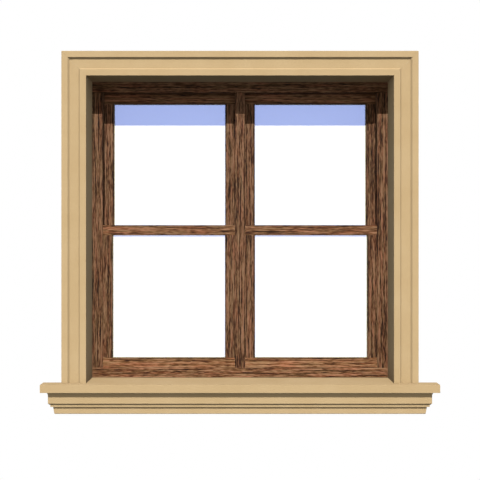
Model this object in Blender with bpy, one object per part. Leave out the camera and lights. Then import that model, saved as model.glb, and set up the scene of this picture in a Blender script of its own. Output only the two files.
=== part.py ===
"""A moulded stone window surround with a pair of timber sliding sash windows built into it.

Metres. +X is to the right, +Y runs back into the wall and +Z is up. The wall's outer face is the
plane Y = 0, and the origin is the centre of the sill's face against that wall.
"""

from math import cos, pi, sin

import bmesh
import bpy
from mathutils import Matrix, Vector

# Clear opening between the stone reveals
OPENING_WIDTH = 1.200
OPENING_HEIGHT = 1.200
JOINT_GAP = 0.0003

# Architrave: an inner fillet, a sunk fascia between two steep bevels, and an outer fillet
INNER_FILLET = 0.024
FASCIA_WIDTH = 0.036
FASCIA_SINK = 0.008
BEVEL_WIDTH = 0.006
OUTER_FILLET = 0.024
ARCHITRAVE_PROJECTION = 0.022
RETURN_THICKNESS = 0.040
REVEAL_DEPTH = 0.126
FRAME_REBATE = 0.015

# Sill: a square cap over a bed mould, with a tongue that runs back under the timber frame
CAP_OVERHANG = 0.076
CAP_PROJECTION = 0.053
CAP_THICKNESS = 0.031
COVE_SPREAD = 0.009
COVE_HEIGHT = 0.017
UPPER_BED_PROJECTION = 0.032
UPPER_BED_HEIGHT = 0.0285
BED_STEP = 0.0075
BED_FILLET_HEIGHT = 0.007
LOWER_BED_STEP = 0.0085
LOWER_BED_HEIGHT = 0.0295
LOWER_BED_EASING = 0.003
LOWER_BED_LEAN = 0.0055
BED_OVERHANG = 0.018
TONGUE_THICKNESS = 0.050

# Timber frame, with a groove in its sides for the guide tongues of each sash
FRAME_FACE = 0.0425
FRAME_SILL_FACE = 0.040
MULLION_FACE = 0.040
BACK_MARGIN = 0.012
GUIDE_SETBACK = 0.013
GUIDE_WIDTH = 0.008
GUIDE_DEPTH = 0.007
GUIDE_PLAY = 0.0005
GUIDE_END_PLAY = 0.001

# Sashes: the lower one runs in front of the upper one
SASH_THICKNESS = 0.024
SASH_SPACING = 0.010
SASH_SIDE_PLAY = 0.001
STILE_FACE = 0.040
RAIL_FACE = 0.041
MEETING_PLAY = 0.001
PANE_THICKNESS = 0.004
PANE_SETBACK = 0.0065
PANE_GROOVE = 0.008
PANE_PLAY = 0.0003
PANE_END_PLAY = 0.0005

# Steps in a quarter round or a cove
ROUND_STEPS = 6

ARCHITRAVE_WIDTH = INNER_FILLET + 2 * BEVEL_WIDTH + FASCIA_WIDTH + OUTER_FILLET
FRAME_FRONT = REVEAL_DEPTH - ARCHITRAVE_PROJECTION
FRAME_DEPTH = 2 * SASH_THICKNESS + SASH_SPACING + BACK_MARGIN
FRAME_BACK = FRAME_FRONT + FRAME_DEPTH
HALF_OPENING = OPENING_WIDTH / 2
HALF_ARCHITRAVE = HALF_OPENING + ARCHITRAVE_WIDTH
HALF_FRAME = HALF_OPENING + FRAME_REBATE - JOINT_GAP

BED_STEPS_HEIGHT = UPPER_BED_HEIGHT + BED_STEP + BED_FILLET_HEIGHT + LOWER_BED_HEIGHT
SILL_DEPTH = CAP_THICKNESS + COVE_HEIGHT + BED_STEPS_HEIGHT
SILL_TOP = (TONGUE_THICKNESS + SILL_DEPTH) / 2
HEAD_SOFFIT = SILL_TOP + OPENING_HEIGHT

FRAME_OPENING_FOOT = SILL_TOP + FRAME_SILL_FACE
FRAME_OPENING_TOP = HEAD_SOFFIT - FRAME_FACE
MEETING_HEIGHT = (FRAME_OPENING_FOOT + FRAME_OPENING_TOP) / 2
BAY_INNER = MULLION_FACE / 2
BAY_OUTER = HALF_OPENING - FRAME_FACE
SASH_CENTRE = (BAY_INNER + BAY_OUTER) / 2
HALF_SASH = (BAY_OUTER - BAY_INNER) / 2 - SASH_SIDE_PLAY
TONGUE_REACH = SASH_SIDE_PLAY + GUIDE_DEPTH

LOWER_TRACK = FRAME_FRONT
UPPER_TRACK = FRAME_FRONT + SASH_THICKNESS + SASH_SPACING
MEETING_EXTRA = (SASH_SPACING - MEETING_PLAY) / 2

# Directions in which a run is drawn: its outline lies in the two axes that follow, in the order X, Y, Z
RUN_TURNS = {
    "X": Matrix(((0, 0, 1), (1, 0, 0), (0, 1, 0))),
    "Y": Matrix(((0, 1, 0), (0, 0, 1), (1, 0, 0))),
    "Z": Matrix.Identity(3),
}


def new_collection(name):
    """A collection linked to the scene."""
    collection = bpy.data.collections.new(name)
    bpy.context.scene.collection.children.link(collection)
    return collection


def new_material(name, colour, roughness, transmission=0.0, alpha=1.0):
    """A plain surface of one colour."""
    material = bpy.data.materials.new(name)
    material.use_nodes = True
    shader = material.node_tree.nodes["Principled BSDF"]
    shader.inputs["Base Color"].default_value = (*colour, 1.0)
    shader.inputs["Roughness"].default_value = roughness
    shader.inputs["Metallic"].default_value = 0.0
    shader.inputs["Transmission Weight"].default_value = transmission
    shader.inputs["Alpha"].default_value = alpha
    return material


def stone():
    """Buff cast stone."""
    return new_material("cast_stone", (0.62, 0.46, 0.24), 0.85)


def timber():
    """Dark stained, strongly figured wood."""
    return new_material("dark_wood", (0.18, 0.09, 0.05), 0.6)


def glass():
    """Clear glass."""
    return new_material("clear_glass", (0.85, 0.9, 0.97), 0.05, transmission=0.9, alpha=0.35)


def run(name, along, outline, start, end):
    """A straight length whose section is the outline, from start to end along one axis."""
    curve = bpy.data.curves.new(name, "CURVE")
    curve.dimensions = "2D"
    curve.fill_mode = "BOTH"
    curve.extrude = (end - start) / 2
    spline = curve.splines.new("POLY")
    spline.points.add(len(outline) - 1)
    for point, (a, b) in zip(spline.points, outline):
        point.co = (a, b, 0.0, 1.0)
    spline.use_cyclic_u = True
    drawn = bpy.data.objects.new(name + "_outline", curve)
    PARTS.objects.link(drawn)
    turn = RUN_TURNS[along].to_4x4()
    drawn.matrix_world = turn @ Matrix.Translation((0.0, 0.0, (start + end) / 2))
    bpy.context.view_layer.update()

    mesh = bpy.data.meshes.new_from_object(drawn.evaluated_get(bpy.context.evaluated_depsgraph_get()))
    mesh.name = name
    close_mesh(mesh)
    piece = bpy.data.objects.new(name, mesh)
    PARTS.objects.link(piece)
    piece.matrix_world = drawn.matrix_world
    bpy.data.objects.remove(drawn)
    bpy.data.curves.remove(curve)
    return piece


def close_mesh(mesh):
    """Welds loose caps on and turns every face outwards."""
    shape = bmesh.new()
    shape.from_mesh(mesh)
    bmesh.ops.remove_doubles(shape, verts=shape.verts, dist=1e-6)
    bmesh.ops.recalc_face_normals(shape, faces=shape.faces)
    shape.to_mesh(mesh)
    shape.free()


def box(name, low, high, collection=None):
    """A rectangular block between two corners."""
    mesh = bpy.data.meshes.new(name)
    size = Vector(high) - Vector(low)
    shape = bmesh.new()
    bmesh.ops.create_cube(shape, size=1.0, matrix=Matrix.Diagonal((*size, 1.0)))
    shape.to_mesh(mesh)
    shape.free()
    piece = bpy.data.objects.new(name, mesh)
    piece.location = (Vector(low) + Vector(high)) / 2
    (collection or PARTS).objects.link(piece)
    return piece


def as_cutter(piece):
    """Sets a shape aside as a cutting tool."""
    for collection in piece.users_collection:
        collection.objects.unlink(piece)
    CUTTERS.objects.link(piece)
    piece.hide_render = True
    piece.display_type = "WIRE"
    return piece


def combine(piece, other, operation):
    """Cuts, joins or trims a piece with another shape."""
    step = piece.modifiers.new(other.name, "BOOLEAN")
    step.object = other
    step.operation = operation
    step.solver = "EXACT"


def trim(piece, point, normal):
    """Cuts away what lies beyond a plane in the direction of its normal, and closes the cut."""
    to_piece = piece.matrix_world.inverted()
    shape = bmesh.new()
    shape.from_mesh(piece.data)
    cut = bmesh.ops.bisect_plane(
        shape,
        geom=shape.verts[:] + shape.edges[:] + shape.faces[:],
        dist=1e-7,
        plane_co=to_piece @ Vector(point),
        plane_no=to_piece.to_3x3() @ Vector(normal),
        clear_outer=True,
    )
    rim = [item for item in cut["geom_cut"] if isinstance(item, bmesh.types.BMEdge)]
    bmesh.ops.holes_fill(shape, edges=rim, sides=0)
    bmesh.ops.recalc_face_normals(shape, faces=shape.faces)
    shape.to_mesh(piece.data)
    shape.free()


def finish(pieces, material, parent=None):
    """Gives the pieces their material and, where they move together, their common parent."""
    bpy.context.view_layer.update()
    for piece in pieces:
        piece.data.materials.clear()
        piece.data.materials.append(material)
        if parent:
            piece.parent = parent
            piece.matrix_parent_inverse = parent.matrix_world.inverted()


def architrave_section():
    """The moulding and its return, as (distance out from the opening's edge, Y) points."""
    front = -ARCHITRAVE_PROJECTION
    sunk = front + FASCIA_SINK
    fascia_start = INNER_FILLET + BEVEL_WIDTH
    fascia_end = fascia_start + FASCIA_WIDTH
    rebate_front = FRAME_FRONT - JOINT_GAP
    return [
        (0.0, front),
        (INNER_FILLET, front),
        (fascia_start, sunk),
        (fascia_end, sunk),
        (fascia_end + BEVEL_WIDTH, front),
        (ARCHITRAVE_WIDTH, front),
        (ARCHITRAVE_WIDTH, 0.0),
        (RETURN_THICKNESS, 0.0),
        (RETURN_THICKNESS, FRAME_BACK),
        (FRAME_REBATE, FRAME_BACK),
        (FRAME_REBATE, rebate_front),
        (0.0, rebate_front),
    ]


def surround_head():
    """The head moulding, mitred at both ends."""
    outline = [(y, HEAD_SOFFIT + out) for out, y in architrave_section()]
    head = run("surround_head", "X", outline, -HALF_ARCHITRAVE, HALF_ARCHITRAVE)
    for side in (-1, 1):
        normal = Vector((side, 0.0, -1.0)).normalized()
        corner = Vector((side * HALF_OPENING, 0.0, HEAD_SOFFIT))
        trim(head, corner - normal * JOINT_GAP / 2, normal)
    return head


def surround_jamb(name, side):
    """One upright, square on the sill and mitred into the head."""
    outline = [(side * (HALF_OPENING + out), y) for out, y in architrave_section()]
    jamb = run(name, "Z", outline, SILL_TOP + JOINT_GAP, HEAD_SOFFIT + ARCHITRAVE_WIDTH)
    normal = Vector((-side, 0.0, 1.0)).normalized()
    corner = Vector((side * HALF_OPENING, 0.0, HEAD_SOFFIT))
    trim(jamb, corner - normal * JOINT_GAP / 2, normal)
    return jamb


def quarter(centre, across, down, hollow):
    """(projection, Z) points of a quarter ellipse, from its top end down."""
    points = []
    for step in range(ROUND_STEPS + 1):
        angle = pi / 2 * step / ROUND_STEPS
        if hollow:
            points.append((centre[0] - across * sin(angle), centre[1] + down * cos(angle)))
        else:
            points.append((centre[0] + across * cos(angle), centre[1] - down * sin(angle)))
    return points


def sill_steps():
    """The sill's front as (projection, Z) points from its top edge down, cap and bed mould apart."""
    cap_foot = SILL_TOP - CAP_THICKNESS
    cap = [(CAP_PROJECTION, SILL_TOP), (CAP_PROJECTION, cap_foot)]

    cove_foot = cap_foot - COVE_HEIGHT
    cove_centre = (UPPER_BED_PROJECTION + COVE_SPREAD, cove_foot)
    bed = quarter(cove_centre, COVE_SPREAD, COVE_HEIGHT, hollow=True)

    upper_foot = cove_foot - UPPER_BED_HEIGHT
    fillet_top = upper_foot - BED_STEP
    fillet_foot = fillet_top - BED_FILLET_HEIGHT
    fillet_face = UPPER_BED_PROJECTION - BED_STEP
    lower_face = fillet_face - LOWER_BED_STEP
    bed += [
        (UPPER_BED_PROJECTION, upper_foot),
        (fillet_face, fillet_top),
        (fillet_face, fillet_foot),
        (lower_face, fillet_foot),
    ]
    easing = (lower_face - LOWER_BED_EASING, SILL_TOP - SILL_DEPTH + LOWER_BED_EASING)
    bed += quarter(easing, LOWER_BED_EASING, LOWER_BED_EASING, hollow=False)
    return cap, bed


def end_of_bed(out, z):
    """Half the length of the bed mould at a point of its profile; the lower member's ends lean in."""
    foot = SILL_TOP - SILL_DEPTH
    fall = max(0.0, foot + LOWER_BED_HEIGHT - z) / LOWER_BED_HEIGHT
    return HALF_ARCHITRAVE + BED_OVERHANG + out - LOWER_BED_LEAN * fall


def surround_sill():
    """The sill: its stepped front, returned round both ends, and the tongue behind it."""
    cap, bed = sill_steps()
    back = FRAME_FRONT
    front_outline = [(back, SILL_TOP)] + [(-out, z) for out, z in cap + bed]
    front_outline.append((back, SILL_TOP - SILL_DEPTH))
    longest = HALF_ARCHITRAVE + CAP_OVERHANG
    sill = run("surround_sill", "X", front_outline, -longest - JOINT_GAP, longest + JOINT_GAP)

    half = [(longest, z) for _, z in cap]
    half += [(end_of_bed(out, z), z) for out, z in bed]
    end_outline = [(z, x) for x, z in half] + [(z, -x) for x, z in reversed(half)]
    ends = as_cutter(run("sill_ends", "Y", end_outline, -2 * CAP_PROJECTION, 0.0))
    combine(sill, ends, "INTERSECT")

    half_tongue = HALF_OPENING + RETURN_THICKNESS
    overlap = UPPER_BED_PROJECTION / 2
    tongue = as_cutter(
        box(
            "sill_tongue",
            (-half_tongue, -overlap, SILL_TOP - TONGUE_THICKNESS),
            (half_tongue, FRAME_BACK, SILL_TOP),
        )
    )
    combine(sill, tongue, "UNION")
    return sill


def guide_outline(face, side, tracks):
    """The side of an upright, grooved at each track, as (X, Y) points from front to back.

    face is the X of its side, and side points from there to the sashes.
    """
    points = [(face, FRAME_FRONT)]
    floor = face - side * (GUIDE_DEPTH + GUIDE_END_PLAY)
    for track in tracks:
        low = track + GUIDE_SETBACK - GUIDE_PLAY
        high = low + GUIDE_WIDTH + 2 * GUIDE_PLAY
        points += [(face, low), (floor, low), (floor, high), (face, high)]
    points.append((face, FRAME_BACK))
    return points


def frame_members():
    """The timber frame: head and sill run through, and the uprights stand between them."""
    head = box(
        "frame_head",
        (-HALF_FRAME, FRAME_FRONT, FRAME_OPENING_TOP),
        (HALF_FRAME, FRAME_BACK, HEAD_SOFFIT + FRAME_REBATE - JOINT_GAP),
    )
    sill = box(
        "frame_sill",
        (-HALF_FRAME, FRAME_FRONT, SILL_TOP + JOINT_GAP),
        (HALF_FRAME, FRAME_BACK, FRAME_OPENING_FOOT),
    )
    tracks = (LOWER_TRACK, UPPER_TRACK)
    foot, top = FRAME_OPENING_FOOT + JOINT_GAP, FRAME_OPENING_TOP - JOINT_GAP
    uprights = []
    for name, side in (("frame_jamb_left", -1), ("frame_jamb_right", 1)):
        outline = guide_outline(side * BAY_OUTER, -side, tracks)
        outline += [(side * HALF_FRAME, FRAME_BACK), (side * HALF_FRAME, FRAME_FRONT)]
        uprights.append(run(name, "Z", outline, foot, top))
    outline = guide_outline(-BAY_INNER, -1, tracks) + guide_outline(BAY_INNER, 1, tracks)[::-1]
    uprights.append(run("frame_mullion", "Z", outline, foot, top))
    return [head, sill, *uprights]


def guide_tongue(track):
    """The Y of the front and of the back of a sash's guide tongues."""
    front = track + GUIDE_SETBACK
    return front, front + GUIDE_WIDTH


def pane_groove(track):
    """The Y of the front and of the back of the groove for a sash's pane."""
    front = track + PANE_SETBACK - PANE_PLAY
    return front, front + PANE_THICKNESS + 2 * PANE_PLAY


def stile(name, face, side, track, foot, top):
    """A sash upright, with a guide tongue on its outer side and a groove for the pane in its inner.

    face is the X of its outer side, and side points from there to the pane.
    """
    tongue_front, tongue_back = guide_tongue(track)
    groove_front, groove_back = pane_groove(track)
    tongue_edge = face - side * TONGUE_REACH
    inner = face + side * STILE_FACE
    pane_floor = inner - side * PANE_GROOVE
    outline = [
        (face, track),
        (face, tongue_front),
        (tongue_edge, tongue_front),
        (tongue_edge, tongue_back),
        (face, tongue_back),
        (face, track + SASH_THICKNESS),
        (inner, track + SASH_THICKNESS),
        (inner, groove_back),
        (pane_floor, groove_back),
        (pane_floor, groove_front),
        (inner, groove_front),
        (inner, track),
    ]
    return run(name, "Z", outline, foot, top)


def rail(name, centre, track, low, high, pane_side, extra_front=0.0, extra_back=0.0):
    """A sash cross piece with its guide tongues, grooved for the pane on its upper or lower side."""
    groove_front, groove_back = pane_groove(track)
    front, back = track - extra_front, track + SASH_THICKNESS + extra_back
    inner, outer = (high, low) if pane_side > 0 else (low, high)
    floor = inner - pane_side * PANE_GROOVE
    outline = [
        (front, outer),
        (front, inner),
        (groove_front, inner),
        (groove_front, floor),
        (groove_back, floor),
        (groove_back, inner),
        (back, inner),
        (back, outer),
    ]
    half = HALF_SASH + TONGUE_REACH
    return run(name, "X", outline, centre - half, centre + half)


def guided_plan(name, centre, track, foot, top):
    """A sash seen from above with a guide tongue at each end, for trimming its cross pieces."""
    front, back = track - SASH_SPACING, track + SASH_THICKNESS + SASH_SPACING
    near, far = guide_tongue(track)
    half, edge = HALF_SASH, HALF_SASH + TONGUE_REACH + JOINT_GAP
    right = [(half, front), (half, near), (edge, near), (edge, far), (half, far), (half, back)]
    left = [(-x, y) for x, y in reversed(right)]
    outline = [(centre + x, y) for x, y in right + left]
    return as_cutter(run(f"{name}_plan", "Z", outline, foot - RAIL_FACE, top + RAIL_FACE))


def sash(name, side, upper):
    """One glazed sash: cross pieces run through, uprights stand between them."""
    centre = side * SASH_CENTRE
    track = UPPER_TRACK if upper else LOWER_TRACK
    if upper:
        foot, top = MEETING_HEIGHT - RAIL_FACE / 2, FRAME_OPENING_TOP - JOINT_GAP
        lower_name, upper_name = "meeting_rail", "top_rail"
        lower_extra, upper_extra = {"extra_front": MEETING_EXTRA}, {}
    else:
        foot, top = FRAME_OPENING_FOOT + JOINT_GAP, MEETING_HEIGHT + RAIL_FACE / 2
        lower_name, upper_name = "bottom_rail", "meeting_rail"
        lower_extra, upper_extra = {}, {"extra_back": MEETING_EXTRA}

    glass_foot, glass_top = foot + RAIL_FACE, top - RAIL_FACE
    rails = [
        rail(f"{name}_{lower_name}", centre, track, foot, glass_foot, 1, **lower_extra),
        rail(f"{name}_{upper_name}", centre, track, glass_top, top, -1, **upper_extra),
    ]
    plan = guided_plan(name, centre, track, foot, top)
    for piece in rails:
        combine(piece, plan, "INTERSECT")
    stiles = [
        stile(
            f"{name}_{word}_stile",
            centre + end * HALF_SASH,
            -end,
            track,
            glass_foot + JOINT_GAP,
            glass_top - JOINT_GAP,
        )
        for word, end in (("left", -1), ("right", 1))
    ]

    reach = PANE_GROOVE - PANE_END_PLAY
    half_pane = HALF_SASH - STILE_FACE + reach
    pane_front = track + PANE_SETBACK
    pane = box(
        f"{name}_pane",
        (centre - half_pane, pane_front, glass_foot - reach),
        (centre + half_pane, pane_front + PANE_THICKNESS, glass_top + reach),
    )

    slide = bpy.data.objects.new(name, None)
    slide.location = (centre, track + SASH_THICKNESS / 2, foot)
    PARTS.objects.link(slide)
    finish(rails + stiles, TIMBER, slide)
    finish([pane], GLASS, slide)


for leftover in list(bpy.data.objects):
    bpy.data.objects.remove(leftover)

PARTS = new_collection("window_surround")
CUTTERS = new_collection("cutters")
STONE, TIMBER, GLASS = stone(), timber(), glass()

finish(
    [
        surround_head(),
        surround_jamb("surround_jamb_left", -1),
        surround_jamb("surround_jamb_right", 1),
        surround_sill(),
    ],
    STONE,
)
finish(frame_members(), TIMBER)
for hand, hand_side in (("left", -1), ("right", 1)):
    sash(f"upper_{hand}_sash", hand_side, upper=True)
    sash(f"lower_{hand}_sash", hand_side, upper=False)
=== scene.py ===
"""Dresses the window surround: eased stone mouldings, grained timber sashes and clear glass.

Metres, in the part's own frame: +X right, +Y back into the wall, +Z up, the wall's face at Y = 0.
"""

from math import pi, radians, tan

import bpy
import numpy as np
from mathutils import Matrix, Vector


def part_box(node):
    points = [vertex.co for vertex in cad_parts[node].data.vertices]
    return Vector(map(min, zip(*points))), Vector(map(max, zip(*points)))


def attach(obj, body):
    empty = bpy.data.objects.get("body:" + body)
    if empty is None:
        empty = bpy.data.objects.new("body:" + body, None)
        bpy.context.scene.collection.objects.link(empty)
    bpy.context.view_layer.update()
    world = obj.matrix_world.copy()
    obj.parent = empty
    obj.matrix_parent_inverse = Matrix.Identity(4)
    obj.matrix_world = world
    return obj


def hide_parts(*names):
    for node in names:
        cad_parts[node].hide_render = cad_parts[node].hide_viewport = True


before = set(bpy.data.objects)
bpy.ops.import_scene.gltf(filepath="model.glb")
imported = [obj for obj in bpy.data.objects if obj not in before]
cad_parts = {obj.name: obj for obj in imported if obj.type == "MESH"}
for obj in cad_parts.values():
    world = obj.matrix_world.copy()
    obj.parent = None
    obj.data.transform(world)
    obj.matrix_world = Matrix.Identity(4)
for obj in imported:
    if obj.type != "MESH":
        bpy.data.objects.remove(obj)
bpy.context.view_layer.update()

# Stone mouldings
INNER_FILLET = 0.024
FASCIA_WIDTH = 0.036
FASCIA_SINK = 0.008
BEVEL_WIDTH = 0.006
RETURN_THICKNESS = 0.040
FRAME_REBATE = 0.015
CAP_OVERHANG = 0.076
CAP_THICKNESS = 0.031
COVE_SPREAD = 0.009
COVE_HEIGHT = 0.017
UPPER_BED_PROJECTION = 0.032
UPPER_BED_HEIGHT = 0.0285
BED_STEP = 0.0075
BED_FILLET_HEIGHT = 0.007
LOWER_BED_STEP = 0.0085
LOWER_BED_EASING = 0.003
LOWER_BED_LEAN = 0.0055
BED_OVERHANG = 0.018
TONGUE_THICKNESS = 0.050
STONE_ARRIS = 0.0005
STONE_STATIONS = 3
# How strongly the search for the profile's first point leans towards the wall
WALLWARD = 1e-3

# Stone finish: each texture's scale and detail, and its tints from low values to high ones
CLOUDS = {"scale": 9.0, "detail": 4.0, "roughness": 0.55}
CLOUD_TINTS = [(0.30, (0.500, 0.355, 0.180)), (0.70, (0.532, 0.386, 0.204))]
SAND = {"scale": 900.0, "detail": 3.0, "roughness": 0.7}
SAND_TINTS = [(0.25, (0.80, 0.78, 0.75)), (0.75, (1.16, 1.17, 1.19))]
SPECKS = {"scale": 420.0}
SPECK_TINTS = [(0.05, (0.72, 0.68, 0.62)), (0.22, (1.0, 1.0, 1.0))]
SPECK_SHARE = 0.5
STONE_ROUGHNESS = (0.82, 0.98)
STONE_GLOSS = 0.1
SAND_BUMP = 0.0003

# Timber
GUIDE_SETBACK = 0.013
GUIDE_WIDTH = 0.008
GUIDE_DEPTH = 0.007
GUIDE_PLAY = 0.0005
GUIDE_END_PLAY = 0.001
SASH_SIDE_PLAY = 0.001
PANE_GROOVE = 0.008
PANE_PLAY = 0.0003
TIMBER_ARRIS = 0.0012
SHOULDER_BITE = 0.0006
# How far apart a board's points are, round its section and along it
BOARD_STEP = 0.002
BOARD_STRIDE = 0.010
# Open grain: its depth, its number of waves, and how many fit in a metre across and along
GRAIN_DEPTH = 0.00022
GRAIN_WAVES = 26
GRAIN_FINENESS = (50, 230)
GRAIN_DRIFT = 5
# The sum of the waves is divided by the root of their number times this
GRAIN_SPREAD = 8
# How light each sort of timber piece is, and how strongly its strands stand out
UPRIGHT = {"tone": 1.0, "contrast": 1.0}
TOP_RAIL = {"tone": 1.34, "contrast": 0.46}
MEETING_RAIL = {"tone": 1.42, "contrast": 0.72}
BOTTOM_RAIL = {"tone": 1.74, "contrast": 0.62}
FRAME_HEAD = {"tone": 1.12, "contrast": 0.85}
FRAME_SILL = {"tone": 1.48, "contrast": 0.85}

# Grain: width across, length along and weight of each sort of strand, and what the sum looks like
STRANDS = [
    (0.0062, 0.420, 1.25),
    (0.0040, 0.130, 1.25),
    (0.0026, 0.045, 1.35),
    (0.0034, 0.018, 0.8),
]
STRAND_TINTS = [
    (0.12, (0.012, 0.003, 0.0005)),
    (0.38, (0.088, 0.035, 0.010)),
    (0.56, (0.165, 0.077, 0.034)),
    (0.82, (0.246, 0.127, 0.066)),
]
STRAND_DETAIL = 1.0
STRAND_ROUGHNESS = 0.5
STRAND_BUMP = 0.0008
PORE_SIZE = (0.0036, 0.040)
PORE_TINTS = [(0.33, (0.36, 0.25, 0.15)), (0.42, (1.0, 1.0, 1.0))]
PATCH_SIZE = (0.009, 0.110)
PATCH_DETAIL = 3.0
PATCH_TINTS = [(0.34, (1.12, 0.93, 0.90)), (0.50, (1.0, 1.0, 0.98)), (0.66, (0.93, 1.03, 0.96))]
# Painted shade: the timber is darkened along the edges that show beside the glass, fading over this
# distance
GLASS_EDGE_SHADE = "glass_edge_shade"
GLASS_EDGE_SHADE_FADE = 0.008
GLASS_EDGE_SHADE_TINT = (0.30, 0.31, 0.36)
TIMBER_ROUGHNESS = (0.85, 0.6)
TIMBER_GLOSS = 0.25
# How far along the endless pattern one board may be cut from another, and what starts its draws
BOARD_SHIFT = 3.0
FINISH_SEED = 7

# Glass
GLASS_ARRIS = 0.0004
GLASS_TINT = (0.90, 0.94, 1.0)
GLASS_CLEARNESS = 0.75
GLASS_IOR = 1.45

# Meshes and finishes
JOINT_GAP = 0.0003
ROUND_STEPS = 16
ARRIS_STEPS = 4
ARRIS_SHARE = 0.4
WELD = 1e-6
SAME_POINT = 1e-7
STRAIGHT_ON = 1e-6
SHARP_EDGE = radians(35)
BUMP_STRENGTH = 0.5
# The sockets for colours on a Mix node
MIX_BASE, MIX_TINT, MIX_RESULT = 6, 7, 2

# Camera and light
EYE_DISTANCE = 2.987
EYE_ABOVE_SILL = 0.5589
FIELD_OF_VIEW = radians(35.0)
SENSOR_WIDTH = 36.0
SUN_ELEVATION = radians(45.7)
SUN_STRENGTH = 3.92
SUN_ANGLE = radians(0.3)
PANE_SUN_STRENGTH = 9.8
PANE_SUN_COLOUR = (1.0, 0.80, 0.26)
# The share of it that only the stone keeps off the glass, so that the rails' own shade is faint
PANE_SUN_PAST_RAILS = 0.5
SKY_THROUGH_GLASS = (0.51, 0.645, 1.25)
FRONT_FILL = (0.52, 0.43, 0.32)
SIDE_FILL = (0.74, 0.85, 1.00)
BACK_FILL = 0.3
FRONT_FADE = 0.1
# From straight below at 0 to straight above at 1
FILL_BY_HEIGHT = [
    (0.10, (0.05, 0.09, 0.15)),
    (0.50, (1.00, 1.00, 1.00)),
    (0.62, (1.00, 1.00, 1.00)),
    (0.95, (0.68, 0.66, 0.92)),
]
FLOOR_BELOW_SILL = 1.0
FLOOR_REACH = 8.0

SILL_LOW, SILL_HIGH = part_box("surround_sill")
HEAD_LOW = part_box("surround_head")[0]
FRAME_LOW, FRAME_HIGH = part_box("frame_head")
SILL_TOP = SILL_HIGH.z
HEAD_SOFFIT = HEAD_LOW.z
HALF_OPENING = -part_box("surround_jamb_left")[1].x
HALF_ARCHITRAVE = -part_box("surround_jamb_left")[0].x


def signed_area(loop):
    """Half the sum of the cross products of neighbouring points."""
    after = np.roll(loop, -1, axis=0)
    return (loop[:, 0] * after[:, 1] - loop[:, 1] * after[:, 0]).sum() / 2


def anticlockwise(outline):
    """The outline as an array that runs anticlockwise."""
    loop = np.asarray(outline, float)
    return loop if signed_area(loop) > 0 else loop[::-1]


def eased(loop, radius):
    """Turns each outer corner into an arc that touches both its sides; inner corners stay sharp.

    The arc starts at the corner minus radius * tan(turn / 2) along the side before it, and turns
    about a centre one radius to the left of that side. On a short side the radius is smaller.
    """
    before = loop - np.roll(loop, 1, axis=0)
    length = np.linalg.norm(before, axis=1)
    shortest = np.minimum(length, np.roll(length, -1))
    before = before / length[:, None]
    after = np.roll(before, -1, axis=0)
    turn = np.arctan2(
        before[:, 0] * after[:, 1] - before[:, 1] * after[:, 0], (before * after).sum(axis=1)
    )
    half_turn = np.tan(np.maximum(turn, 0) / 2)
    cut = np.minimum(radius * half_turn, ARRIS_SHARE * shortest)
    reach = np.divide(cut, half_turn, out=np.zeros_like(cut), where=half_turn > STRAIGHT_ON)
    start = loop - before * cut[:, None]
    inward = np.stack([-before[:, 1], before[:, 0]], axis=1) * reach[:, None]
    angle = turn[:, None] * np.linspace(0, 1, ARRIS_STEPS + 1)
    spoke = -inward[:, None]
    swung = np.stack(
        [
            spoke[..., 0] * np.cos(angle) - spoke[..., 1] * np.sin(angle),
            spoke[..., 0] * np.sin(angle) + spoke[..., 1] * np.cos(angle),
        ],
        axis=-1,
    )
    points = ((start + inward)[:, None] + swung).reshape(-1, 2)
    moved = np.linalg.norm(points - np.roll(points, 1, axis=0), axis=1) > SAME_POINT
    return points[moved]


def divided(loop, spacing):
    """Adds evenly spaced points, so that no side of a closed outline is longer than the spacing."""
    side = np.roll(loop, -1, axis=0) - loop
    parts = np.maximum(1, np.ceil(np.linalg.norm(side, axis=1) / spacing).astype(int))
    which = np.repeat(np.arange(len(loop)), parts)
    share = (np.arange(parts.sum()) - np.repeat(np.cumsum(parts) - parts, parts)) / parts[which]
    return loop[which] + side[which] * share[:, None]


def outward(loop):
    """The unit normals of an anticlockwise outline, halfway between those of the sides that meet."""
    side = np.roll(loop, -1, axis=0) - loop
    normal = np.stack([side[:, 1], -side[:, 0]], axis=1)
    normal /= np.linalg.norm(normal, axis=1)[:, None]
    normal += np.roll(normal, 1, axis=0)
    return normal / np.linalg.norm(normal, axis=1)[:, None]


def grain_relief(name, section, along):
    """Depth of the open grain at each point: a sum of waves, short across a board and long along it.

    section has the shape (..., 2), and along fits its leading axes.
    """
    chance = np.random.default_rng(sum(map(ord, name)))
    heading = chance.uniform(0, 2 * pi, GRAIN_WAVES)
    fineness = chance.uniform(*GRAIN_FINENESS, GRAIN_WAVES)
    drift = chance.normal(0, GRAIN_DRIFT, GRAIN_WAVES)
    phase = chance.uniform(0, 2 * pi, GRAIN_WAVES)
    across = section[..., 0, None] * np.cos(heading) + section[..., 1, None] * np.sin(heading)
    height = np.cos(2 * pi * (across * fineness + along[..., None] * drift) + phase).sum(axis=-1)
    return GRAIN_DEPTH * np.clip(0.5 - height / np.sqrt(GRAIN_SPREAD * GRAIN_WAVES), 0, 1)


def add_mesh(name, points, faces, flat_from=None):
    """A mesh object at the origin; faces from flat_from on are flat, the others smooth."""
    mesh = bpy.data.meshes.new(name)
    mesh.from_pydata(np.asarray(points).reshape(-1, 3).tolist(), [], faces)
    smooth = np.ones(len(faces), bool)
    smooth[flat_from:] = flat_from is None
    mesh.polygons.foreach_set("use_smooth", smooth)
    mesh.set_sharp_from_angle(angle=SHARP_EDGE)
    mesh.validate()
    piece = bpy.data.objects.new(name, mesh)
    bpy.context.scene.collection.objects.link(piece)
    return piece


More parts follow.
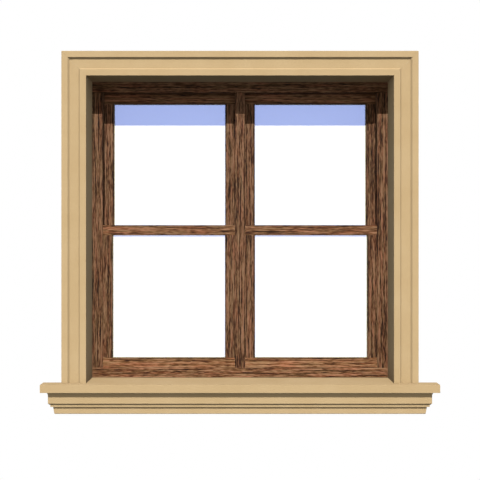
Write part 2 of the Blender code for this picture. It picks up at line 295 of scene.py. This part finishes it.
def mark_painted_glass_shade(piece, distance):
    """Notes, for the painted shade along the glass, how near each point is to an edge that shows beside
    it.

    It is 1 on that edge and falls evenly to 0 at the fade's distance from it.
    """
    nearness = np.clip(1 - distance / GLASS_EDGE_SHADE_FADE, 0, 1)
    mark = piece.data.attributes.new(GLASS_EDGE_SHADE, "FLOAT", "POINT")
    mark.data.foreach_set("value", nearness.astype(np.float32))
    return piece


def mesh_points(piece):
    """The places of a piece's points, one row each."""
    points = np.empty(3 * len(piece.data.vertices), np.float32)
    piece.data.vertices.foreach_get("co", points)
    return points.reshape(-1, 3)


def tube_faces(rows, columns):
    """Quads between neighbouring rows of points, each row a closed ring."""
    corner = np.arange((rows - 1) * columns).reshape(rows - 1, columns)
    beside = np.roll(corner, -1, axis=1)
    return np.stack([corner, beside, beside + columns, corner + columns], axis=-1).reshape(-1, 4)


def run(name, along, loop, place, stations, grain=False):
    """Carries a section along a straight path and closes both ends.

    place(section, stations) gives the lengthwise coordinate of every point. Rows are stations and
    columns are points of the section; the two section axes follow the lengthwise one in X, Y, Z.
    """
    section = np.broadcast_to(loop, (len(stations), *loop.shape))
    lengthwise = place(section, stations[:, None])
    if grain:
        section = section - outward(loop) * grain_relief(name, section, lengthwise)[..., None]
    axes = {"X": (2, 0, 1), "Z": (0, 1, 2)}[along]
    points = np.concatenate([section, lengthwise[..., None]], axis=-1)[..., axes]
    rows, columns = lengthwise.shape
    faces = tube_faces(rows, columns).tolist()
    faces += [list(range(columns))[::-1], list(range((rows - 1) * columns, rows * columns))]
    return add_mesh(name, points, faces, flat_from=-2)


def straight(section, stations):
    """Square ends: every point of a row lies at that row's station."""
    return np.broadcast_to(stations, section.shape[:-1])


def spaced(start, end, stride):
    """Evenly spaced stations, no further apart than the stride."""
    return np.linspace(start, end, int(np.ceil((end - start) / stride)) + 1)


def weighted(piece):
    """Shades broad flats flat and the arrises between them round."""
    step = piece.modifiers.new("arris_shading", "WEIGHTED_NORMAL")
    step.keep_sharp = True
    return piece


def architrave_section():
    """The moulding and its return, as (distance out from the opening's edge, Y) points."""
    front, back = HEAD_LOW.y, FRAME_HIGH.y
    width = HALF_ARCHITRAVE - HALF_OPENING
    fascia_start = INNER_FILLET + BEVEL_WIDTH
    fascia_end = fascia_start + FASCIA_WIDTH
    rebate_front = FRAME_LOW.y - JOINT_GAP
    return [
        (0.0, front),
        (INNER_FILLET, front),
        (fascia_start, front + FASCIA_SINK),
        (fascia_end, front + FASCIA_SINK),
        (fascia_end + BEVEL_WIDTH, front),
        (width, front),
        (width, 0.0),
        (RETURN_THICKNESS, 0.0),
        (RETURN_THICKNESS, back),
        (FRAME_REBATE, back),
        (FRAME_REBATE, rebate_front),
        (0.0, rebate_front),
    ]


def surround_head():
    """The head moulding; its mitred ends lie as far out as each point of the section is high."""
    loop = eased(
        anticlockwise([(y, HEAD_SOFFIT + out) for out, y in architrave_section()]), STONE_ARRIS
    )

    def mitred(section, stations):
        return stations * (HALF_OPENING + section[..., 1] - HEAD_SOFFIT - JOINT_GAP)

    return weighted(run("stone_head", "X", loop, mitred, np.linspace(-1, 1, STONE_STATIONS)))


def surround_jamb(hand, side):
    """One upright: square on the sill, and at its top as high as each point is far out."""
    outline = [(side * (HALF_OPENING + out), y) for out, y in architrave_section()]
    loop = eased(anticlockwise(outline), STONE_ARRIS)
    foot = SILL_TOP + JOINT_GAP

    def mitred(section, stations):
        top = HEAD_SOFFIT + np.abs(section[..., 0]) - HALF_OPENING
        return foot + stations * (top - foot)

    stations = np.linspace(0, 1, STONE_STATIONS)
    return weighted(run(f"stone_jamb_{hand}", "Z", loop, mitred, stations))


def quarter(centre, across, down, hollow):
    """Points of a quarter ellipse, from its top end down."""
    angle = np.linspace(0, pi / 2, ROUND_STEPS + 1)
    if hollow:
        return np.stack([centre[0] - across * np.sin(angle), centre[1] + down * np.cos(angle)], axis=1)
    return np.stack([centre[0] + across * np.cos(angle), centre[1] - down * np.sin(angle)], axis=1)


def sill_profile():
    """The sill's front as (projection, Z) points from its top edge down, and each point's overhang."""
    cap_face = -SILL_LOW.y
    cap_foot = SILL_TOP - CAP_THICKNESS
    cove_foot = cap_foot - COVE_HEIGHT
    upper_foot = cove_foot - UPPER_BED_HEIGHT
    fillet_top = upper_foot - BED_STEP
    fillet_foot = fillet_top - BED_FILLET_HEIGHT
    fillet_face = UPPER_BED_PROJECTION - BED_STEP
    lower_face = fillet_face - LOWER_BED_STEP
    easing = (lower_face - LOWER_BED_EASING, SILL_LOW.z + LOWER_BED_EASING)
    cove = quarter((UPPER_BED_PROJECTION + COVE_SPREAD, cove_foot), COVE_SPREAD, COVE_HEIGHT, True)
    steps = [
        (UPPER_BED_PROJECTION, upper_foot),
        (fillet_face, fillet_top),
        (fillet_face, fillet_foot),
        (lower_face, fillet_foot),
    ]
    round_foot = quarter(easing, LOWER_BED_EASING, LOWER_BED_EASING, False)
    outline = np.concatenate([[(cap_face, SILL_TOP), (cap_face, cap_foot)], cove, steps, round_foot])

    behind = [(0.0, SILL_LOW.z), (0.0, SILL_TOP)]
    loop = eased(np.concatenate([outline, behind])[::-1], STONE_ARRIS)[::-1]
    front = loop[loop[:, 0] > STONE_ARRIS * 2]
    front = np.roll(front, -np.argmax(front[:, 1] - front[:, 0] * WALLWARD), axis=0)
    on_cap = front[:, 1] > cap_foot - WELD
    fall = np.clip((fillet_foot - front[:, 1]) / (fillet_foot - SILL_LOW.z), 0, 1)
    overhang = np.where(
        on_cap & (front[:, 0] > UPPER_BED_PROJECTION + COVE_SPREAD + WELD),
        CAP_OVERHANG - cap_face,
        BED_OVERHANG - LOWER_BED_LEAN * fall,
    )
    return front, overhang


def surround_sill():
    """The sill: its profile carried along the front and returned round both ends, and its tongue.

    A station is a place on the way round: the left end at the wall, an arc at the left corner, the
    front, an arc at the right corner, and the right end at the wall.
    """
    profile, overhang = sill_profile()
    out, height = profile.T
    half = HALF_ARCHITRAVE + overhang + out
    angle = np.linspace(0, pi / 2, ARRIS_STEPS + 1)[:, None]
    corner_x = half - STONE_ARRIS * (1 - np.sin(angle[::-1]))
    corner_y = -out + STONE_ARRIS * (1 - np.cos(angle[::-1]))
    right_x = np.concatenate([corner_x[::-1], half[None]])
    right_y = np.concatenate([corner_y[::-1], np.zeros((1, len(out)))])
    x = np.concatenate([-right_x[::-1], right_x])
    y = np.concatenate([right_y[::-1], right_y])
    points = np.stack([x, y, np.broadcast_to(height, x.shape)], axis=-1)

    rows, columns = x.shape
    corner = np.arange(rows * columns).reshape(rows, columns)
    quads = np.stack([corner[:-1, :-1], corner[:-1, 1:], corner[1:, 1:], corner[1:, :-1]], axis=-1)
    faces = quads.reshape(-1, 4).tolist()

    half_tongue = HALF_OPENING + RETURN_THICKNESS
    tongue = [
        (side * half_tongue, depth, level)
        for level in (SILL_TOP, SILL_TOP - TONGUE_THICKNESS)
        for depth in (0.0, SILL_HIGH.y)
        for side in (-1, 1)
    ]
    first = rows * columns
    near_left, near_right, far_left, far_right, foot_left, foot_right, heel_left, heel_right = range(
        first, first + len(tongue)
    )
    top_edge, bottom_edge = corner[:, 0].tolist(), corner[:, -1].tolist()
    left_end, right_end = corner[0].tolist(), corner[-1].tolist()
    faces += [
        top_edge + [near_right, far_right, far_left, near_left],
        bottom_edge[::-1],
        left_end[::-1] + [near_left, foot_left, foot_right, near_right] + right_end,
        [foot_left, near_left, far_left, heel_left],
        [near_right, foot_right, heel_right, far_right],
        [heel_left, far_left, far_right, heel_right],
        [foot_right, foot_left, heel_left, heel_right],
    ]
    points = np.concatenate([points.reshape(-1, 3), tongue])
    return weighted(add_mesh("stone_sill", points, faces))


def board_loop(outline):
    """A timber section with eased arrises and enough points to carry the grain."""
    return divided(eased(anticlockwise(outline), TIMBER_ARRIS), BOARD_STEP)


def rectangle(low, high):
    """The corners of a rectangle, anticlockwise."""
    return [(low[0], low[1]), (high[0], low[1]), (high[0], high[1]), (low[0], high[1])]


def frame_rail(node, name):
    """The head or the sill of the timber frame."""
    low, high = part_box(node)
    loop = board_loop(rectangle((low.y, low.z), (high.y, high.z)))
    return run(name, "X", loop, straight, spaced(low.x, high.x, BOARD_STRIDE), grain=True)


def upright(name, outline, foot, top):
    """A timber upright, let a hair into the rails at both ends so that no light shows there."""
    stations = spaced(foot - SHOULDER_BITE, top + SHOULDER_BITE, BOARD_STRIDE)
    return run(name, "Z", board_loop(outline), straight, stations, grain=True)


def guide_tongue(sash):
    """The Y of the front and of the back of a sash's guide tongues."""
    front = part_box(f"{sash}_left_stile")[0].y + GUIDE_SETBACK
    return front, front + GUIDE_WIDTH


def grooved_side(face, side):
    """The side of an upright with a groove for each track, as (X, Y) points from front to back.

    face is the X of its side, and side points from there to the sashes.
    """
    points = [(face, FRAME_LOW.y)]
    floor = face - side * (GUIDE_DEPTH + GUIDE_END_PLAY)
    for sash in ("lower_left_sash", "upper_left_sash"):
        tongue_front, tongue_back = guide_tongue(sash)
        front, back = tongue_front - GUIDE_PLAY, tongue_back + GUIDE_PLAY
        points += [(face, front), (floor, front), (floor, back), (face, back)]
    return points + [(face, FRAME_HIGH.y)]


def frame_upright(node, name):
    """A frame jamb, grooved on its inner side, or the mullion, grooved on both."""
    low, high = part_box(node)
    if low.x < 0 < high.x:
        outline = grooved_side(low.x, -1) + grooved_side(high.x, 1)[::-1]
    elif high.x < 0:
        outline = grooved_side(high.x, 1) + [(low.x, FRAME_HIGH.y), (low.x, FRAME_LOW.y)]
    else:
        outline = grooved_side(low.x, -1) + [(high.x, FRAME_HIGH.y), (high.x, FRAME_LOW.y)]
    return upright(name, outline, low.z, high.z)


def sash_stile(node, name, sash):
    """A sash upright, with a guide tongue on its outer side and a groove for the pane in its inner."""
    low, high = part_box(node)
    pane_low, pane_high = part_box(f"{sash}_pane")
    tongue_front, tongue_back = guide_tongue(sash)
    tongue_edge, inner, side = (low.x, high.x, 1) if low.x < pane_low.x else (high.x, low.x, -1)
    outer = tongue_edge + side * (GUIDE_DEPTH + SASH_SIDE_PLAY)
    pane_floor = inner - side * PANE_GROOVE
    outline = [
        (outer, low.y),
        (outer, tongue_front),
        (tongue_edge, tongue_front),
        (tongue_edge, tongue_back),
        (outer, tongue_back),
        (outer, high.y),
        (inner, high.y),
        (inner, pane_high.y + PANE_PLAY),
        (pane_floor, pane_high.y + PANE_PLAY),
        (pane_floor, pane_low.y - PANE_PLAY),
        (inner, pane_low.y - PANE_PLAY),
        (inner, low.y),
    ]
    piece = upright(name, outline, low.z, high.z)
    # Where the painted shade along the glass goes
    return mark_painted_glass_shade(piece, np.abs(mesh_points(piece)[:, 0] - inner))


def sash_rail(node, name, sash):
    """A sash cross piece, grooved for the pane, with a guide tongue at each end.

    The section is carried along the body as in a plain run. At each end only the part of the
    section between the tongue's faces goes on, as a ring of its own, and flat faces close the body
    in front of it and behind it, and its tip.
    """
    low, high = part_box(node)
    pane_low, pane_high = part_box(f"{sash}_pane")
    tongue_front, tongue_back = guide_tongue(sash)
    inner, outer, side = (high.z, low.z, 1) if pane_high.z > high.z else (low.z, high.z, -1)
    floor = inner - side * PANE_GROOVE
    outline = [
        (low.y, outer),
        (low.y, inner),
        (pane_low.y - PANE_PLAY, inner),
        (pane_low.y - PANE_PLAY, floor),
        (pane_high.y + PANE_PLAY, floor),
        (pane_high.y + PANE_PLAY, inner),
        (tongue_front, inner),
        (tongue_back, inner),
        (high.y, inner),
        (high.y, outer),
        (tongue_back, outer),
        (tongue_front, outer),
    ]
    loop = board_loop(outline)
    reach = GUIDE_DEPTH + SASH_SIDE_PLAY
    stations = spaced(low.x + reach, high.x - reach, BOARD_STRIDE)
    section = np.broadcast_to(loop, (len(stations), *loop.shape))
    lengthwise = straight(section, stations[:, None])
    relief = grain_relief(name, section, lengthwise)
    relief[[0, -1]] = 0.0
    section = section - outward(loop) * relief[..., None]
    body = np.concatenate([lengthwise[..., None], section], axis=-1)

    ring = np.flatnonzero((loop[:, 0] > tongue_front - WELD) & (loop[:, 0] < tongue_back + WELD))
    after = np.roll(ring, -1)
    tips = [np.insert(loop[ring], 0, x, axis=1) for x in (low.x, high.x)]
    rows, columns = lengthwise.shape
    first, last = 0, (rows - 1) * columns
    near_tip = rows * columns + np.arange(len(ring))
    far_tip = near_tip + len(ring)
    near = np.stack([near_tip, np.roll(near_tip, -1), first + after, first + ring], axis=1)
    far = np.stack([last + ring, last + after, np.roll(far_tip, -1), far_tip], axis=1)
    faces = tube_faces(rows, columns).tolist() + near.tolist() + far.tolist()
    flat_from = len(faces)

    gaps = (after - ring) % columns
    shoulders = [(start + np.arange(gap + 1)) % columns for start, gap in zip(ring, gaps) if gap > 1]
    faces += [near_tip[::-1].tolist(), far_tip.tolist()]
    faces += [(first + shoulder)[::-1].tolist() for shoulder in shoulders]
    faces += [(last + shoulder).tolist() for shoulder in shoulders]
    points = np.concatenate([body.reshape(-1, 3), *tips])
    piece = add_mesh(name, points, faces, flat_from=flat_from)
    # Where the painted shade along the glass goes: nearness to the glass's edge, both edges on a meeting
    # rail
    half_glass = (pane_high.x - pane_low.x) / 2 - PANE_GROOVE
    beyond = np.maximum(np.abs(points[:, 0] - (pane_low.x + pane_high.x) / 2) - half_glass, 0)
    edges = (inner, outer) if node.endswith("meeting_rail") else (inner,)
    nearest = np.min([np.abs(points[:, 2] - edge) for edge in edges], axis=0)
    return mark_painted_glass_shade(piece, nearest + beyond)


def glass_pane(node, name):
    """A sheet of glass with ground arrises."""
    low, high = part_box(node)
    loop = eased(anticlockwise(rectangle((low.x, low.y), (high.x, high.y))), GLASS_ARRIS)
    pane = weighted(run(name, "Z", loop, straight, np.array([low.z, high.z])))
    pane.visible_diffuse = pane.visible_shadow = False
    return pane


def new_material(name):
    """A material with a Principled shader, and its nodes, links and shader."""
    material = bpy.data.materials.new(name)
    material.use_nodes = True
    tree = material.node_tree
    return material, tree, tree.nodes["Principled BSDF"]


def texture(tree, kind, vector, **inputs):
    """A texture node that reads the given coordinates."""
    node = tree.nodes.new(kind)
    tree.links.new(vector, node.inputs["Vector"])
    for label, value in inputs.items():
        node.inputs[label.title()].default_value = value
    return node


def mapping(tree, vector, location=(0, 0, 0), rotation=(0, 0, 0), scale=(1, 1, 1)):
    """Moved, turned and stretched coordinates."""
    node = tree.nodes.new("ShaderNodeMapping")
    tree.links.new(vector, node.inputs["Vector"])
    for label, value in (("Location", location), ("Rotation", rotation), ("Scale", scale)):
        node.inputs[label].default_value = value
    return node.outputs["Vector"]


def ramp(tree, value, stops):
    """A colour ramp over (position, colour) stops."""
    node = tree.nodes.new("ShaderNodeValToRGB")
    tree.links.new(value, node.inputs["Fac"])
    elements = node.color_ramp.elements
    while len(elements) < len(stops):
        elements.new(0.5)
    for element, (position, colour) in zip(elements, stops):
        element.position = position
        element.color = (*colour, 1.0)
    return node.outputs["Color"]


def tinted(tree, base, tint, share=1.0):
    """A colour multiplied by a tint, in full or in part."""
    node = tree.nodes.new("ShaderNodeMix")
    node.data_type = "RGBA"
    node.blend_type = "MULTIPLY"
    node.inputs["Factor"].default_value = share
    tree.links.new(base, node.inputs[MIX_BASE])
    tree.links.new(tint, node.inputs[MIX_TINT])
    return node.outputs[MIX_RESULT]


def span_map(tree, value, low, high, start=0.0, end=1.0):
    """Turns a value that runs from start to end into one that runs from low to high."""
    node = tree.nodes.new("ShaderNodeMapRange")
    tree.links.new(value, node.inputs["Value"])
    for label, number in (("From Min", start), ("From Max", end), ("To Min", low), ("To Max", high)):
        node.inputs[label].default_value = number
    return node.outputs["Result"]


def calculate(tree, operation, *values):
    """A Math node over sockets and numbers."""
    node = tree.nodes.new("ShaderNodeMath")
    node.operation = operation
    for socket, value in zip(node.inputs, values):
        if isinstance(value, float):
            socket.default_value = value
        else:
            tree.links.new(value, socket)
    return node.outputs["Value"]


def mixed(tree, share, first, second):
    """One shader turning into another as the share goes from 0 to 1."""
    node = tree.nodes.new("ShaderNodeMixShader")
    tree.links.new(share, node.inputs["Fac"])
    tree.links.new(first.outputs[0], node.inputs[1])
    tree.links.new(second.outputs[0], node.inputs[2])
    return node


def bump(tree, shader, height, depth):
    """Raises the surface by the height socket times the depth."""
    node = tree.nodes.new("ShaderNodeBump")
    node.inputs["Distance"].default_value = depth
    node.inputs["Strength"].default_value = BUMP_STRENGTH
    tree.links.new(height, node.inputs["Height"])
    tree.links.new(node.outputs["Normal"], shader.inputs["Normal"])


def cast_stone():
    """Buff cast stone: faint clouding, sandy grains and small dark specks."""
    material, tree, shader = new_material("cast_stone_finish")
    place = tree.nodes.new("ShaderNodeTexCoord").outputs["Object"]
    clouds = texture(tree, "ShaderNodeTexNoise", place, **CLOUDS).outputs["Fac"]
    sand = texture(tree, "ShaderNodeTexNoise", place, **SAND).outputs["Fac"]
    specks = texture(tree, "ShaderNodeTexVoronoi", place, **SPECKS).outputs["Distance"]
    colour = tinted(tree, ramp(tree, clouds, CLOUD_TINTS), ramp(tree, sand, SAND_TINTS))
    colour = tinted(tree, colour, ramp(tree, specks, SPECK_TINTS), SPECK_SHARE)
    tree.links.new(colour, shader.inputs["Base Color"])
    tree.links.new(span_map(tree, sand, *STONE_ROUGHNESS), shader.inputs["Roughness"])
    shader.inputs["Specular IOR Level"].default_value = STONE_GLOSS
    bump(tree, shader, sand, SAND_BUMP)
    return material


def dark_wood(name, along, tone, contrast):
    """Dark stained, coarse timber: straight strands from near black to tan, with dark pores.

    The strands are a weighted sum of noises, each drawn out to its own width across the board and
    length along it, and the sum picks the colour. Broad patches turn it redder or greyer, and the
    edges that face the glass are darkened with painted shade.
    """
    chance = np.random.default_rng(sum(map(ord, name)) + FINISH_SEED)
    material, tree, shader = new_material(f"dark_wood_{name}")
    place = tree.nodes.new("ShaderNodeTexCoord").outputs["Object"]
    turn = (0, pi / 2, 0) if along == "X" else (0, 0, 0)
    shift = chance.uniform(-BOARD_SHIFT, BOARD_SHIFT, 3)
    board = mapping(tree, place, location=shift, rotation=turn)

    def drawn_out(width, length, detail=STRAND_DETAIL):
        vector = mapping(tree, board, scale=(1, 1, width / length))
        inputs = {"scale": 1 / width, "detail": detail, "roughness": STRAND_ROUGHNESS}
        return texture(tree, "ShaderNodeTexNoise", vector, **inputs).outputs["Fac"]

    strands = None
    for width, length, weight in STRANDS:
        share = weight * contrast
        middle = 0.5 if strands is None else 0.0
        part = calculate(tree, "MULTIPLY_ADD", drawn_out(width, length), share, middle - share / 2)
        strands = part if strands is None else calculate(tree, "ADD", strands, part)
    tints = [(level, tuple(tone * part for part in tint)) for level, tint in STRAND_TINTS]
    colour = ramp(tree, strands, tints)

    edge = tree.nodes.new("ShaderNodeAttribute")
    edge.attribute_name = GLASS_EDGE_SHADE
    for value, stops in (
        (drawn_out(*PATCH_SIZE, detail=PATCH_DETAIL), PATCH_TINTS),
        (drawn_out(*PORE_SIZE), PORE_TINTS),
        # Painted shade, darkest on the edges beside the glass
        (edge.outputs["Fac"], [(0.0, (1.0, 1.0, 1.0)), (1.0, GLASS_EDGE_SHADE_TINT)]),
    ):
        colour = tinted(tree, colour, ramp(tree, value, stops))
    tree.links.new(colour, shader.inputs["Base Color"])
    tree.links.new(span_map(tree, strands, *TIMBER_ROUGHNESS), shader.inputs["Roughness"])
    shader.inputs["Specular IOR Level"].default_value = TIMBER_GLOSS
    bump(tree, shader, strands, STRAND_BUMP)
    return material


def clear_glass():
    """Clear glass with a very faint blue and a trace of haze."""
    material, _, shader = new_material("clear_glass_finish")
    shader.inputs["Base Color"].default_value = (*GLASS_TINT, 1.0)
    shader.inputs["Transmission Weight"].default_value = GLASS_CLEARNESS
    shader.inputs["Roughness"].default_value = 0.0
    shader.inputs["IOR"].default_value = GLASS_IOR
    return material


def dress(piece, node, body, material):
    """Gives a piece its finish and puts it in the place of its node."""
    piece.data.materials.append(material)
    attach(piece, body)
    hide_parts(node)
    return piece


def build_surround():
    """The four stone pieces."""
    stone = cast_stone()
    pieces = {
        "surround_head": surround_head(),
        "surround_jamb_left": surround_jamb("left", -1),
        "surround_jamb_right": surround_jamb("right", 1),
        "surround_sill": surround_sill(),
    }
    return [dress(piece, node, "surround", stone) for node, piece in pieces.items()]


def build_frame():
    """The timber frame."""
    for part, maker, along, look in (
        ("head", frame_rail, "X", FRAME_HEAD),
        ("sill", frame_rail, "X", FRAME_SILL),
        ("jamb_left", frame_upright, "Z", UPRIGHT),
        ("jamb_right", frame_upright, "Z", UPRIGHT),
        ("mullion", frame_upright, "Z", UPRIGHT),
    ):
        node, name = f"frame_{part}", f"timber_{part}"
        dress(maker(node, name), node, "surround", dark_wood(name, along, **look))


def build_sash(sash, glass):
    """One sash: its cross pieces, its uprights and its pane."""
    pane = f"{sash}_pane"
    upper = sash.startswith("upper")
    outer_rail, outer_look = ("top_rail", TOP_RAIL) if upper else ("bottom_rail", BOTTOM_RAIL)
    for part, maker, along, look in (
        (outer_rail, sash_rail, "X", outer_look),
        ("meeting_rail", sash_rail, "X", MEETING_RAIL),
        ("left_stile", sash_stile, "Z", UPRIGHT),
        ("right_stile", sash_stile, "Z", UPRIGHT),
    ):
        node, name = f"{sash}_{part}", f"timber_{sash}_{part}"
        dress(maker(node, name, sash), node, sash, dark_wood(name, along, **look))
    return dress(glass_pane(pane, f"glass_{pane}"), pane, sash, glass)


def sun(name, strength, colour=(1.0, 1.0, 1.0), receivers=(), blockers=()):
    """A sun straight in front of the window, high enough to throw the head's shadow on the glass.

    It lights only what it reaches directly, and the studio's fill does the rest. Where receivers
    are given it lights them alone, and where blockers are given they alone throw its shade.
    """
    light = bpy.data.lights.new(name, "SUN")
    light.energy = strength
    light.color = colour
    light.angle = SUN_ANGLE
    light.cycles.max_bounces = 0
    lamp = bpy.data.objects.new(name, light)
    lamp.rotation_euler = (pi / 2 - SUN_ELEVATION, 0, 0)
    bpy.context.scene.collection.objects.link(lamp)
    for role, pieces in (("receiver", receivers), ("blocker", blockers)):
        if pieces:
            chosen = bpy.data.collections.new(f"{name}_{role}s")
            for piece in pieces:
                chosen.objects.link(piece)
            setattr(lamp.light_linking, f"{role}_collection", chosen)


def studio_world():
    """White round the object, soft low fill on it, and pale sky where one looks out through the glass.

    The fill comes mostly from the front's two sides, less from above and least from below.
    """
    world = bpy.data.worlds.new("studio")
    world.use_nodes = True
    bpy.context.scene.world = world
    tree = world.node_tree
    fill = tree.nodes["Background"]
    direction = tree.nodes.new("ShaderNodeTexCoord").outputs["Generated"]
    split = tree.nodes.new("ShaderNodeSeparateXYZ")
    tree.links.new(direction, split.inputs["Vector"])
    height = span_map(tree, split.outputs["Z"], 0.0, 1.0, start=-1.0)
    sides = calculate(tree, "ABSOLUTE", split.outputs["X"])
    fills = ramp(tree, sides, [(0.0, FRONT_FILL), (1.0, SIDE_FILL)])
    fills = tinted(tree, fills, ramp(tree, height, FILL_BY_HEIGHT))
    front = span_map(tree, split.outputs["Y"], 1.0, BACK_FILL, start=-FRONT_FADE, end=FRONT_FADE)
    tree.links.new(fills, fill.inputs["Color"])
    tree.links.new(front, fill.inputs["Strength"])

    white, sky = (tree.nodes.new("ShaderNodeBackground") for _ in range(2))
    white.inputs["Color"].default_value = (1.0, 1.0, 1.0, 1.0)
    sky.inputs["Color"].default_value = (*SKY_THROUGH_GLASS, 1.0)
    rays = tree.nodes.new("ShaderNodeLightPath").outputs
    shader = mixed(tree, rays["Is Transmission Ray"], fill, sky)
    shader = mixed(tree, rays["Is Camera Ray"], shader, white)
    tree.links.new(shader.outputs[0], tree.nodes["World Output"].inputs["Surface"])


def studio_floor():
    """A plain floor, as white as the world and clear from below, which throws no light back."""
    square = rectangle((-FLOOR_REACH, -FLOOR_REACH), (FLOOR_REACH, FLOOR_REACH))
    corners = [(x, y, SILL_TOP - FLOOR_BELOW_SILL) for x, y in square]
    floor = add_mesh("studio_floor", corners, [[0, 1, 2, 3]])
    material, tree, _ = new_material("studio_floor_finish")
    white = tree.nodes.new("ShaderNodeEmission")
    clear = tree.nodes.new("ShaderNodeBsdfTransparent")
    below = tree.nodes.new("ShaderNodeNewGeometry").outputs["Backfacing"]
    surface = mixed(tree, below, white, clear)
    tree.links.new(surface.outputs[0], tree.nodes["Material Output"].inputs["Surface"])
    floor.data.materials.append(material)
    for ray in ("diffuse", "glossy", "transmission", "shadow"):
        setattr(floor, f"visible_{ray}", False)


def photo_camera():
    """A level camera straight in front of the window."""
    lens = bpy.data.cameras.new("camera")
    lens.sensor_width = SENSOR_WIDTH
    lens.lens = SENSOR_WIDTH / 2 / tan(FIELD_OF_VIEW / 2)
    camera = bpy.data.objects.new("camera", lens)
    camera.location = (0.0, -EYE_DISTANCE, SILL_TOP + EYE_ABOVE_SILL)
    camera.rotation_euler = (pi / 2, 0, 0)
    bpy.context.scene.collection.objects.link(camera)
    bpy.context.scene.camera = camera


photo_camera()
STONES = build_surround()
build_frame()
GLASS = clear_glass()
PANES = [
    build_sash(f"{level}_{hand}_sash", GLASS) for level in ("upper", "lower") for hand in ("left", "right")
]
sun("sun", SUN_STRENGTH)
sun("sun_on_panes", PANE_SUN_STRENGTH * (1 - PANE_SUN_PAST_RAILS), PANE_SUN_COLOUR, PANES)
sun("sun_past_rails", PANE_SUN_STRENGTH * PANE_SUN_PAST_RAILS, PANE_SUN_COLOUR, PANES, STONES)
studio_world()
studio_floor()
bpy.context.scene.view_settings.view_transform = "Standard"
